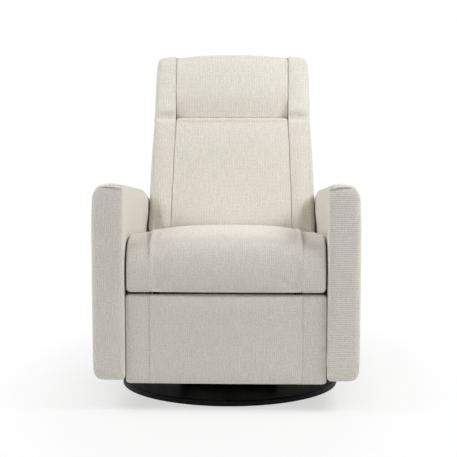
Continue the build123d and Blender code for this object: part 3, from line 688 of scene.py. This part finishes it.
def crease(wing):
    """Press the soft fold where the headrest bends into the front of a wing, with a low roll over it."""
    points = vertex_values(wing.data, "co")
    x, rearward, up = back_places(points)
    over = up - CREASE + FOLD_DROP
    forward = back_points(0, -1, 0) - back_points(0, 0, 0)
    facing = np.clip(vertex_values(wing.data, "normal") @ (forward / MM), 0, 1)
    fold = FOLD_DEPTH * bell(over, np.where(over > 0, FOLD_ABOVE, FOLD_BELOW))
    roll = FOLD_ROLL * bell(over - FOLD_ROLL_PLACE, FOLD_ROLL_WIDTH)
    depth = (fold - roll) * facing
    put(wing.data, points - depth[:, None] * forward)


def bend_with_headrest(piece):
    """Fabric that runs over the fold between the back and the headrest: its placement is taken into its mesh,
    and it is not bent.
    """
    start, end = back_points(0, 0, np.array([CREASE - BEND_REACH, CREASE + BEND_REACH]))
    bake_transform(piece)


def cover_section(x):
    """Side view of the rear cover, which wraps round under the recline pivot."""
    wrap = np.radians(np.linspace(COVER_WRAP, 0, COVER_WRAP_STEPS))
    rear = [(BACK_REAR * math.cos(a), -BACK_REAR * math.sin(a)) for a in wrap]
    front = [(COVER_INNER * math.cos(a), -COVER_INNER * math.sin(a)) for a in wrap[::-1]]
    top = between(WING_TOP - WING_DROP, BACK_TOP, 1 - abs(x / WING_OUTER[0]) ** COVER_ARCH)
    edge = [(BACK_REAR, top - COVER_TOP_ROUND), (BACK_REAR - COVER_TOP_BEVEL, top), (COVER_INNER, top)]
    return even(np.array(rear + edge + front), COVER_COUNT)


def cover_points(s, loop):
    """Points of the rear cover, which is as wide as the back with its wings."""
    return back_points(s / WING_OUTER[0] * wing_outer(loop[:, 1]), loop[:, 0], loop[:, 1])


def build_cover(fabric):
    """Plain cover over the rear of the back and the headrest."""
    ends = (-WING_OUTER[0], WING_OUTER[0])
    cover = soft_block("rear_cover", ends, (COVER_EDGE, COVER_EDGE), cover_section, cover_points)
    finish_piece(cover, fabric, None, ["back_outer_cover", "headrest_outer_cover"])
    bend_with_headrest(cover)


# Arms


def arm_share(y):
    """How far back along the arm a place lies, from 0 at the front to 1 at the rear."""
    return (y - ARM_FRONT) / (ARM_REAR - ARM_FRONT)


def arm_top(y, hand):
    """Level of an arm, which slopes to the rear and rounds off at its end."""
    fall = ARM_END_FALL[hand] * np.clip((y - ARM_END) / (ARM_REAR - ARM_END), 0, 1) ** 2
    return between(ARM_TOP_FRONT, ARM_TOP_REAR, arm_share(y)) - fall


def crown_share(x, inner):
    """Height of the crown over the arm, from 0 at its outer edge to 1 a little inside its middle."""
    middle = (inner + HALF_WIDTH) / 2 - ARM_CROWN_SHIFT
    return 1 - ((x - middle) / (HALF_WIDTH - middle)) ** 2


def crowned(loop, inner, top):
    """Raise the top of an arm outline to a soft crown."""
    near_top = np.clip((loop[:, 1] - top + ARM_CROWN_FADE) / ARM_CROWN_FADE, 0, 1)
    return shifted(loop, 0, ARM_CROWN * crown_share(loop[:, 0], inner) * near_top)


def arm_seam(x):
    """Level of the arched seam between the face of an arm and the roll of its top."""
    middle = (ARM_INNER_FRONT + HALF_WIDTH) / 2
    return PANEL_TOP - PANEL_FALL * ((x - middle) / (HALF_WIDTH - middle)) ** 2


def above_seam(loop):
    """The part of an arm outline that lies over the seam of its face, closed along the seam."""
    over = loop[loop[:, 1] > arm_seam(loop[:, 0])]
    if len(over) == 0:
        over = loop[[np.argmax(loop[:, 1])]]
    x = np.clip(loop[:, 0], over[:, 0].min(), over[:, 0].max())
    return np.stack([x, np.maximum(loop[:, 1], arm_seam(x))], axis=1)


def tapered(loop):
    """Draw the outer side of an arm outline in towards its foot and its top."""
    low = np.clip((ARM_BOTTOM + ARM_TAPER_HEIGHT - loop[:, 1]) / ARM_TAPER_HEIGHT, 0, 1)
    high = np.clip((loop[:, 1] - ARM_LEAN_START) / (ARM_TOP_FRONT - ARM_LEAN_START), 0, 1)
    outside = np.clip((loop[:, 0] - ARM_FRAME_OUTER) / (HALF_WIDTH - ARM_FRAME_OUTER), 0, 1)
    return shifted(loop, -(ARM_TAPER * low**2 + ARM_LEAN * high) * outside, 0)


def flared(loop, y):
    """Fill out the inner side of an arm outline over the seat, in front of the back."""
    over_seat = np.clip((loop[:, 1] - SEAT_TOP + ARM_FLARE_START) / ARM_FLARE_RISE, 0, 1)
    inside = np.clip((ARM_FRAME_OUTER - loop[:, 0]) / ARM_FLARE_DEPTH, 0, 1)
    return shifted(loop, -ARM_FLARE * bell(y - ARM_FLARE_PLACE, ARM_FLARE_LENGTH) * over_seat * inside, 0)


def arm_section(y, hand):
    """Front view of an arm's cover: its outer side, its crowned top and the lining inside over the seat."""
    inner = between(ARM_INNER_FRONT, ARM_INNER_REAR, arm_share(y))
    top = arm_top(y, hand) - ARM_CROWN_BASE
    frame_side = ARM_FRAME_OUTER + ARM_FRAME_GAP
    corners = [
        (HALF_WIDTH, ARM_BOTTOM),
        (HALF_WIDTH, top),
        (inner, top),
        (inner, ARM_LINING_BOTTOM),
        (frame_side, ARM_LINING_BOTTOM),
        (frame_side, ARM_BOTTOM),
    ]
    radii = [
        ARM_CORNER_BOTTOM,
        ARM_CORNER_OUTER,
        between(ARM_CORNER_FRONT, ARM_CORNER_REAR[hand], arm_share(y)),
        ARM_CORNER_LINING,
        ARM_CORNER_FRAME,
        ARM_CORNER_LINING,
    ]
    loop = section(corners, radii, ARM_COUNT)
    return tapered(flared(crowned(loop, inner, top), y))


def panel_section(y):
    """Front face of an arm: the arm's own outline, cut off along the seam below the roll of its top."""
    top = ARM_TOP_FRONT - PANEL_BASE
    corners = [(PANEL_OUTER, ARM_BOTTOM), (PANEL_OUTER, top), (PANEL_INNER, top), (PANEL_INNER, ARM_BOTTOM)]
    radii = [ARM_CORNER_BOTTOM, ARM_CORNER_OUTER, ARM_CORNER_FRONT, PANEL_CORNER_INNER]
    loop = tapered(crowned(section(corners, radii, PANEL_COUNT), ARM_INNER_FRONT, top))
    pucker = sum(PUCKER_DEPTH * bell(loop[:, 0] - x, PUCKER_WIDTH) for x in PUCKER_PLACES)
    top_edge = arm_seam(loop[:, 0]) + PANEL_TUCK - pucker
    return np.stack([loop[:, 0], np.minimum(loop[:, 1], top_edge)], axis=1)


def panel_points(side, s, loop):
    """Points of an (X, Z) section of an arm that stands at y."""
    return points_at(side * loop[:, 0], s, loop[:, 1])


def arm_points(side, s, loop):
    """Points of an arm's section, of which only the roll over the face's seam reaches the front."""
    return panel_points(side, s, above_seam(loop) if s < ROLL_REAR else loop)


def sewn_panel(points):
    """The face of an arm is held at its rear, where it lies on the arm."""
    return points[:, 1] / MM > PANEL_FRONT + PANEL_HOLD


def build_arms(fabric, turned):
    """Arm covers with their front faces. The right face has its cloth laid with the ribs level."""
    for hand, side in SIDES.items():
        arm = soft_block(
            f"arm_pad_{hand}",
            (ARM_FRONT, ARM_REAR),
            (ARM_ROLL, ARM_REAR_EDGE),
            lambda y: arm_section(y, hand),
            lambda s, loop: arm_points(side, s, loop),
        )
        finish_piece(arm, fabric, "seat_body", [f"arm_cover_{hand}"])
        panel = soft_block(
            f"arm_face_{hand}",
            (PANEL_FRONT, PANEL_REAR),
            (PANEL_EDGE, PANEL_EDGE),
            panel_section,
            lambda s, loop: panel_points(side, s, loop),
            spacing=5,
        )
        inflate(panel, sewn_panel, cap=3, draw=0.5, voxel=4.5)
        # The right face's turned cloth carries painted rib shade in its colour
        cloth = turned if hand == "right" else fabric
        finish_piece(panel, cloth, "seat_body", [f"arm_front_panel_{hand}"])


def apron_section(x):
    """Side view of the rear panel, whose ends rise beside the back to the arm covers."""
    top = np.interp(abs(x), (APRON_DIP, APRON_DIP + APRON_STEP), (APRON_TOP, APRON_END_TOP))
    corners = [
        (APRON_FRONT, APRON_BOTTOM),
        (APRON_REAR, APRON_BOTTOM),
        (APRON_REAR, top),
        (APRON_FRONT, top),
    ]
    return section(corners, APRON_ROUNDING, APRON_COUNT)


def sewn_apron(points):
    """The rear panel is held at its front, where it lies on its board."""
    return points[:, 1] / MM < APRON_FRONT + APRON_HOLD


def build_apron(fabric):
    """Fabric panel between the arms at the rear, below the back."""
    ends = (-ARM_FRAME_OUTER, ARM_FRAME_OUTER)
    apron = soft_block("rear_apron_panel", ends, (APRON_EDGE, APRON_EDGE), apron_section, across, spacing=4)
    inflate(apron, sewn_apron, cap=4, draw=1)
    finish_piece(apron, fabric, "seat_body", ["rear_apron"])


# Materials: colours are sRGB in 0 to 255, pitches are in millimetres, noise scales are per metre. SHARE is
# what a pattern adds to the whole, and over FACE_TURN of a normal's part the weave turns to the next face.

RIB_PITCH = 5.5
RIB_WANDER = 0.7
THREAD_PITCH = 4.3
THREAD_SHARE = 0.5
WEAVE_TONE = 0.26
# The turned copy's weave tone is raised by painted rib shade and painted highlight, for the light its level
# ribs catch from above
WEAVE_TONE_AND_PAINTED_RIB_SHADE_TURNED = 0.6
WEAVE_HEIGHT = 0.35
SLUB_SHARE = 0.5
CROSS_SHARE = 0.2
FLECK_SHARE = 0.3
YARN_DARK = (212, 207, 196)
YARN_PALE = (238, 235, 227)
CLOTH_CLOUD = (226, 221, 208)
FACE_TURN = (0.6, 0.8)
BLACK = (9, 9, 9)
DARK_STEEL = (38, 39, 41)
BARE_STEEL = (178, 178, 176)
STEEL_MARKS = (120, 120, 122)
NYLON = (226, 224, 214)
RUBBER = (28, 28, 28)
WOOD_DARK = (150, 112, 70)
WOOD_PALE = (214, 184, 140)
FIGURE_SHARE = 0.75
FIBRE_SHARE = 0.3
TWILL_PITCH = 3
TWILL_DARK = (34, 33, 32)
TWILL_PALE = (92, 88, 82)


def linear(colour):
    """Linear colour of an sRGB colour in 0 to 255."""
    values = [c / 255 for c in colour]
    return tuple(c / 12.92 if c <= 0.04045 else ((c + 0.055) / 1.055) ** 2.4 for c in values) + (1.0,)


def lightened(colour, gain, lift):
    """Lighter kind of a linear colour."""
    return tuple(min(1, c * gain + lift) for c in colour[:3]) + (1.0,)


class Shader:
    """Short way to lay out a material's nodes."""

    def __init__(self, name, roughness, metallic=0.0):
        """New material with one plain surface."""
        self.material = bpy.data.materials.new(name)
        self.material.use_nodes = True
        self.tree = self.material.node_tree
        self.surface = self.tree.nodes["Principled BSDF"]
        self.surface.inputs["Roughness"].default_value = roughness
        self.surface.inputs["Metallic"].default_value = metallic
        self.place = self.tree.nodes.new("ShaderNodeTexCoord")

    def node(self, kind, settings=None, **inputs):
        """New node with its inputs set by name, or by number as i0, i1 and so on."""
        made = self.tree.nodes.new(f"ShaderNode{kind}")
        for key, value in (settings or {}).items():
            setattr(made, key, value)
        for key, value in inputs.items():
            numbered = key[0] == "i" and key[1:].isdigit()
            self.feed(made.inputs[int(key[1:]) if numbered else key], value)
        return made

    def feed(self, socket, value):
        """Link an output to a socket, or set the socket's own value."""
        if isinstance(value, bpy.types.NodeSocket):
            self.tree.links.new(value, socket)
        else:
            socket.default_value = value

    def maths(self, operation, a, b=0.0):
        """Result of a sum on one or two values."""
        return self.node("Math", {"operation": operation}, i0=a, i1=b).outputs[0]

    def wave(self, place, pitch):
        """Sine along a place in metres, with a pitch in millimetres."""
        return self.maths("SINE", self.maths("MULTIPLY", place, 2 * math.pi / (pitch * MM)))

    def axes(self, kind):
        """The three parts of the surface's place ("Object") or direction ("Normal")."""
        return self.node("SeparateXYZ", i0=self.place.outputs[kind]).outputs

    def grain(self, scale, detail=2.0, stretch=(1, 1, 1)):
        """Noise from 0 to 1 with features of about 1 / scale metres, drawn out along the axes."""
        mapping = self.node("Mapping", Vector=self.place.outputs["Object"], Scale=stretch)
        made = self.node("TexNoise", Vector=mapping.outputs[0], Scale=scale, Detail=detail)
        return made.outputs["Fac"]

    def blend(self, factor, a, b):
        """Colour part of the way from one to another."""
        return self.node("Mix", {"data_type": "RGBA"}, i0=factor, i6=a, i7=b).outputs[2]

    def choose(self, factor, a, b):
        """Number part of the way from one to another."""
        return self.node("Mix", {"data_type": "FLOAT"}, i0=factor, i2=a, i3=b).outputs[0]

    def span(self, value, low, high, start=0.0, stop=1.0, kind="LINEAR"):
        """A value from start to stop brought to another range."""
        settings = {"interpolation_type": kind}
        return self.node("MapRange", settings, Value=value, i1=start, i2=stop, i3=low, i4=high).outputs[0]

    def bump(self, height, strength, distance):
        """Relief of the surface, with its depth in metres."""
        made = self.node("Bump", Height=height, Strength=strength, Distance=distance)
        self.feed(self.surface.inputs["Normal"], made.outputs[0])

    def colour(self, value):
        """Colour of the surface."""
        self.feed(self.surface.inputs["Base Color"], value)

    def roughness(self, value):
        """Roughness of the surface."""
        self.feed(self.surface.inputs["Roughness"], value)


def fabric_material(name, turned=False):
    """Ivory upholstery cloth: fine ribs along the length, cross threads, uneven slub yarns and dark knots. On
    the turned copy, with its ribs level, the rib stripes also carry painted shade and painted highlight for
    the light from above.
    """
    cloth = Shader(name, 0.9)
    x, y, z = cloth.axes("Object")
    facing = cloth.axes("Normal")
    sideways = cloth.span(cloth.maths("ABSOLUTE", facing[0]), 0.0, 1.0, *FACE_TURN, "SMOOTHSTEP")
    upward = cloth.span(cloth.maths("ABSOLUTE", facing[2]), 0.0, 1.0, *FACE_TURN, "SMOOTHSTEP")
    width = cloth.choose(sideways, x, y)
    length = cloth.choose(upward, z, y)
    if turned:
        width, length = length, width
    flat = cloth.node("CombineXYZ", i0=width, i1=length).outputs[0]

    def yarn(wide, long, scale, detail=2.0):
        """Noise in the plane of the cloth."""
        stretched = cloth.node("Mapping", Vector=flat, Scale=(wide, long, 1)).outputs[0]
        plane = {"noise_dimensions": "2D"}
        return cloth.node("TexNoise", plane, Vector=stretched, Scale=scale, Detail=detail).outputs["Fac"]

    uneven = cloth.span(yarn(wide=1, long=0.25, scale=90), -1, 1)
    rib_place = cloth.maths("ADD", width, cloth.maths("MULTIPLY", uneven, RIB_WANDER * MM))
    threads = cloth.maths("MULTIPLY", cloth.wave(length, THREAD_PITCH), THREAD_SHARE)
    weave = cloth.maths("ADD", cloth.wave(rib_place, RIB_PITCH), threads)
    slub = cloth.maths("MULTIPLY", yarn(wide=1, long=0.06, scale=420), SLUB_SHARE)
    cross = cloth.maths("MULTIPLY", yarn(wide=0.08, long=1, scale=420), CROSS_SHARE)
    fleck = cloth.maths("MULTIPLY", yarn(wide=1, long=1, scale=330, detail=1.0), FLECK_SHARE)
    streak = cloth.maths("ADD", cloth.maths("ADD", slub, cross), fleck)
    # On the turned copy this share includes painted rib shade as well as the weave's own tone
    woven = cloth.maths("MULTIPLY", weave, WEAVE_TONE_AND_PAINTED_RIB_SHADE_TURNED if turned else WEAVE_TONE)
    tone = cloth.maths("ADD", cloth.span(streak, -0.9, 1.9), woven)
    knots = cloth.span(yarn(wide=1, long=0.8, scale=300, detail=1.0), -1.0, 0.08, start=0.34, stop=0.46)
    yarns = cloth.blend(cloth.maths("ADD", tone, knots), linear(YARN_DARK), linear(YARN_PALE))
    cloudy = cloth.span(cloth.grain(scale=9, detail=3), 0, 0.35)
    cloth.colour(cloth.blend(cloudy, yarns, linear(CLOTH_CLOUD)))
    height = cloth.maths("ADD", cloth.maths("MULTIPLY", weave, WEAVE_HEIGHT), streak)
    cloth.bump(height, strength=0.6, distance=0.0008)
    cloth.surface.inputs["Sheen Weight"].default_value = 0.25
    cloth.surface.inputs["Sheen Roughness"].default_value = 0.6
    cloth.surface.inputs["Specular IOR Level"].default_value = 0.2
    return cloth.material


def painted_metal(name, colour, roughness, wear=0.15):
    """Powder-coated steel: a fine orange-peel surface, a little lighter where the coat is thin."""
    paint = Shader(name, roughness)
    thin = paint.span(paint.grain(scale=35, detail=3), 0, wear)
    paint.colour(paint.blend(thin, colour, lightened(colour, gain=1.9, lift=0.004)))
    paint.roughness(paint.span(paint.grain(scale=120), roughness - 0.06, roughness + 0.08))
    paint.bump(paint.grain(scale=900), strength=0.06, distance=0.0005)
    paint.surface.inputs["Specular IOR Level"].default_value = 0.11
    return paint.material


def bare_metal(name, colour, roughness):
    """Plated or plain steel with drawn marks."""
    steel = Shader(name, roughness, metallic=1.0)
    marks = steel.grain(scale=60, detail=4, stretch=(12, 1, 1))
    steel.colour(steel.blend(steel.span(marks, 0, 0.5), colour, linear(STEEL_MARKS)))
    steel.roughness(steel.span(marks, roughness - 0.08, roughness + 0.12))
    steel.bump(marks, strength=0.05, distance=0.0003)
    return steel.material


def moulded(name, colour, roughness):
    """Plain moulded plastic or rubber with a fine matt grain."""
    plastic = Shader(name, roughness)
    mottle = plastic.span(plastic.grain(scale=70, detail=3), 0, 0.3)
    plastic.colour(plastic.blend(mottle, colour, lightened(colour, gain=1.5, lift=0.01)))
    plastic.bump(plastic.grain(scale=1500, detail=1), strength=0.1, distance=0.0003)
    return plastic.material


def plywood_material():
    """Birch plywood and rails: long grain with darker growth lines."""
    wood = Shader("frame_wood", 0.6)
    figure = wood.grain(scale=14, detail=5, stretch=(6, 0.6, 6))
    fibre = wood.grain(scale=160, stretch=(5, 0.4, 5))
    lines = wood.maths("MULTIPLY", figure, FIGURE_SHARE)
    tone = wood.maths("ADD", lines, wood.maths("MULTIPLY", fibre, FIBRE_SHARE))
    wood.colour(wood.blend(wood.span(tone, -0.2, 1.1), linear(WOOD_DARK), linear(WOOD_PALE)))
    wood.bump(fibre, strength=0.15, distance=0.0005)
    return wood.material


def webbing_material():
    """Woven elastic webbing: dark cloth with a close twill."""
    band = Shader("webbing", 0.85)
    x, y, z = band.axes("Object")
    twill = band.wave(band.maths("ADD", band.maths("ADD", x, y), z), TWILL_PITCH)
    tone = band.span(band.maths("ADD", twill, band.grain(scale=300)), 0.1, 0.6)
    band.colour(band.blend(tone, linear(TWILL_DARK), linear(TWILL_PALE)))
    band.bump(twill, strength=0.4, distance=0.0006)
    return band.material


def dress_frame(fabric):
    """Materials of the CAD nodes that stay in view, by their slots in the record."""
    finishes = {
        "black_paint": painted_metal("black_paint", linear(BLACK), 0.5),
        "dark_steel": painted_metal("dark_steel", linear(DARK_STEEL), 0.5, wear=0.3),
        "bare_steel": bare_metal("bare_steel", linear(BARE_STEEL), 0.32),
        "nylon": moulded("nylon", linear(NYLON), 0.45),
        "rubber_pad": moulded("rubber_pad", linear(RUBBER), 0.85),
        "frame_wood": plywood_material(),
        "webbing": webbing_material(),
        "ivory_fabric": fabric,
    }
    for part in frame["record"]["subparts"]:
        node = frame["nodes"][part["node"]]
        node.data.materials.clear()
        node.data.materials.append(finishes[part["material_slot"]])


# Stage, light and camera, in metres

WHITE = (1.0, 1.0, 1.0, 1.0)
NO_COLOUR = (0.0, 0.0, 0.0, 1.0)
FLOOR_REACH = 14
FLOOR_PALE = (240, 240, 240)
FLOOR_MOTTLE = (235, 235, 234)
FLOOR_GLOW = 0.61
FLOOR_SHADE = 0.4
FLOOR_NEAR = 0.5
FLOOR_FAR = 1.35
FLOOR_NARROW = 1.6
WORLD_LIGHT = 0.342

# Place, target, size and power in watts of each lamp
LAMPS = {
    "left": ((-1.6, -0.7, 1.9), (0.1, 0.1, 0.6), (1.4, 1.2), 23.4),
    "right": ((1.6, -0.7, 1.9), (-0.1, 0.1, 0.6), (0.8, 0.8), 29.8),
    "top": ((-0.1, 0.1, 2.6), (0.0, 0.0, 0.5), (2.2, 1.8), 0.8),
    "rear": ((0.4, 2.6, 2.0), (0.0, 0.2, 0.6), (2.4, 1.6), 20),
}

CAMERA_PLACE = (0.1135, -3.763, 0.899)
CAMERA_PITCH = 6.107
CAMERA_YAW = 1.796
FOCAL_PIXELS = 1180
PHOTO_PIXELS = 457
SENSOR = 36


def in_view(tree):
    """1 for the rays that show the white surround: the camera's own, mirrored ones and through glass."""
    rays = tree.nodes.new("ShaderNodeLightPath").outputs
    seen = rays["Is Camera Ray"]
    for kind in ("Is Glossy Ray", "Is Transmission Ray"):
        either = tree.nodes.new("ShaderNodeMath")
        either.operation = "MAXIMUM"
        tree.links.new(seen, either.inputs[0])
        tree.links.new(rays[kind], either.inputs[1])
        seen = either.outputs[0]
    return seen


def floor_material():
    """Pale paper that keeps the shadow near the chair and runs out to plain white."""
    paper = Shader("floor_paper", 0.95)
    seen = in_view(paper.tree)
    spread = paper.node("Mapping", Vector=paper.place.outputs["Object"], Scale=(FLOOR_NARROW, 1, 1))
    distance = paper.node("VectorMath", {"operation": "LENGTH"}, i0=spread.outputs[0]).outputs["Value"]
    away = paper.span(distance, 0.0, 1.0, FLOOR_NEAR, FLOOR_FAR, "SMOOTHSTEP")
    mottle = paper.span(paper.grain(scale=2), 0, 0.2)
    pale = paper.blend(mottle, linear(FLOOR_PALE), linear(FLOOR_MOTTLE))
    shaded = paper.blend(paper.maths("MULTIPLY", seen, 1 - FLOOR_SHADE), pale, NO_COLOUR)
    paper.colour(paper.blend(paper.maths("MULTIPLY", seen, away), shaded, NO_COLOUR))
    glow = paper.maths("MULTIPLY", seen, paper.span(away, FLOOR_GLOW, 1.0))
    paper.feed(paper.surface.inputs["Emission Color"], WHITE)
    paper.feed(paper.surface.inputs["Emission Strength"], glow)
    paper.surface.inputs["Specular IOR Level"].default_value = 0.0
    return paper.material


def build_stage():
    """Floor and white surround."""
    mesh = bpy.data.meshes.new("floor")
    reach = FLOOR_REACH
    corners = [(-reach, -reach, 0), (reach, -reach, 0), (reach, reach, 0), (-reach, reach, 0)]
    mesh.from_pydata(corners, [], [(0, 1, 2, 3)])
    mesh.materials.append(floor_material())
    floor = bpy.data.objects.new("floor", mesh)
    bpy.context.collection.objects.link(floor)

    world = bpy.data.worlds.new("studio")
    world.use_nodes = True
    bpy.context.scene.world = world
    tree = world.node_tree
    strength = tree.nodes.new("ShaderNodeMapRange")
    strength.inputs["To Min"].default_value = WORLD_LIGHT
    strength.inputs["To Max"].default_value = 1.0
    tree.links.new(in_view(tree), strength.inputs["Value"])
    background = tree.nodes["Background"]
    background.inputs["Color"].default_value = WHITE
    tree.links.new(strength.outputs[0], background.inputs["Strength"])


def build_light():
    """Large soft lamps, each facing a point of the chair."""
    for name, (place, target, size, power) in LAMPS.items():
        data = bpy.data.lights.new(name, "AREA")
        data.shape = "RECTANGLE"
        data.size, data.size_y = size
        data.energy = power
        lamp = bpy.data.objects.new(name, data)
        bpy.context.collection.objects.link(lamp)
        lamp.location = place
        direction = mathutils.Vector(np.array(target) - np.array(place))
        lamp.rotation_mode = "QUATERNION"
        lamp.rotation_quaternion = direction.to_track_quat("-Z", "Y")


def build_camera():
    """Camera at the photograph's viewing angle."""
    data = bpy.data.cameras.new("camera")
    data.sensor_width = SENSOR
    data.lens = FOCAL_PIXELS / PHOTO_PIXELS * SENSOR
    data.dof.use_dof = False
    camera = bpy.data.objects.new("camera", data)
    bpy.context.collection.objects.link(camera)
    camera.location = CAMERA_PLACE
    camera.rotation_euler = (math.radians(90 - CAMERA_PITCH), 0, math.radians(CAMERA_YAW))
    bpy.context.scene.camera = camera


ivory = fabric_material("ivory_weave")
dress_frame(ivory)
build_seat(ivory)
build_footrest(ivory)
build_back(ivory)
build_wings(ivory)
build_cover(ivory)
build_arms(ivory, fabric_material("ivory_weave_turned_painted_rib_shade", turned=True))
build_apron(ivory)
build_stage()
build_light()
build_camera()
bpy.context.scene.view_settings.view_transform = "Standard"
